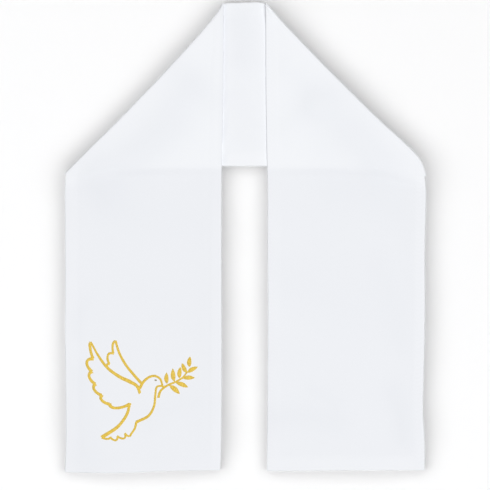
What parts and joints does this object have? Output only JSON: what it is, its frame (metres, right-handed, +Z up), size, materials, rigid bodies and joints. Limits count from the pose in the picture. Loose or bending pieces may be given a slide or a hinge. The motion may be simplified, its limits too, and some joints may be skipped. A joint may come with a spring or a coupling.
{
  "type": "baptism stole",
  "caption": "White baptism stole, a doubled and pressed band folded at the neck into straight fronts, laid flat, with a dove and olive sprig in gold thread.",
  "frame": {"origin": "on the table, under the middle of the stole's box as it lies", "axes": "+X towards the plain front, +Y from the hems to the neck, +Z up from the table"},
  "size_m": [0.2314, 0.3016, 0.0034],
  "materials": {
    "white_cloth": "smooth, fine plain weave, cool white, matt with a slight sheen",
    "gold_thread": "golden yellow embroidery thread in satin stitch, silky"
  },
  "bodies": {
    "root": {"neck_band": "white_cloth", "embroidered_front": "white_cloth", "plain_front": "white_cloth"}
  },
  "joints": []
}
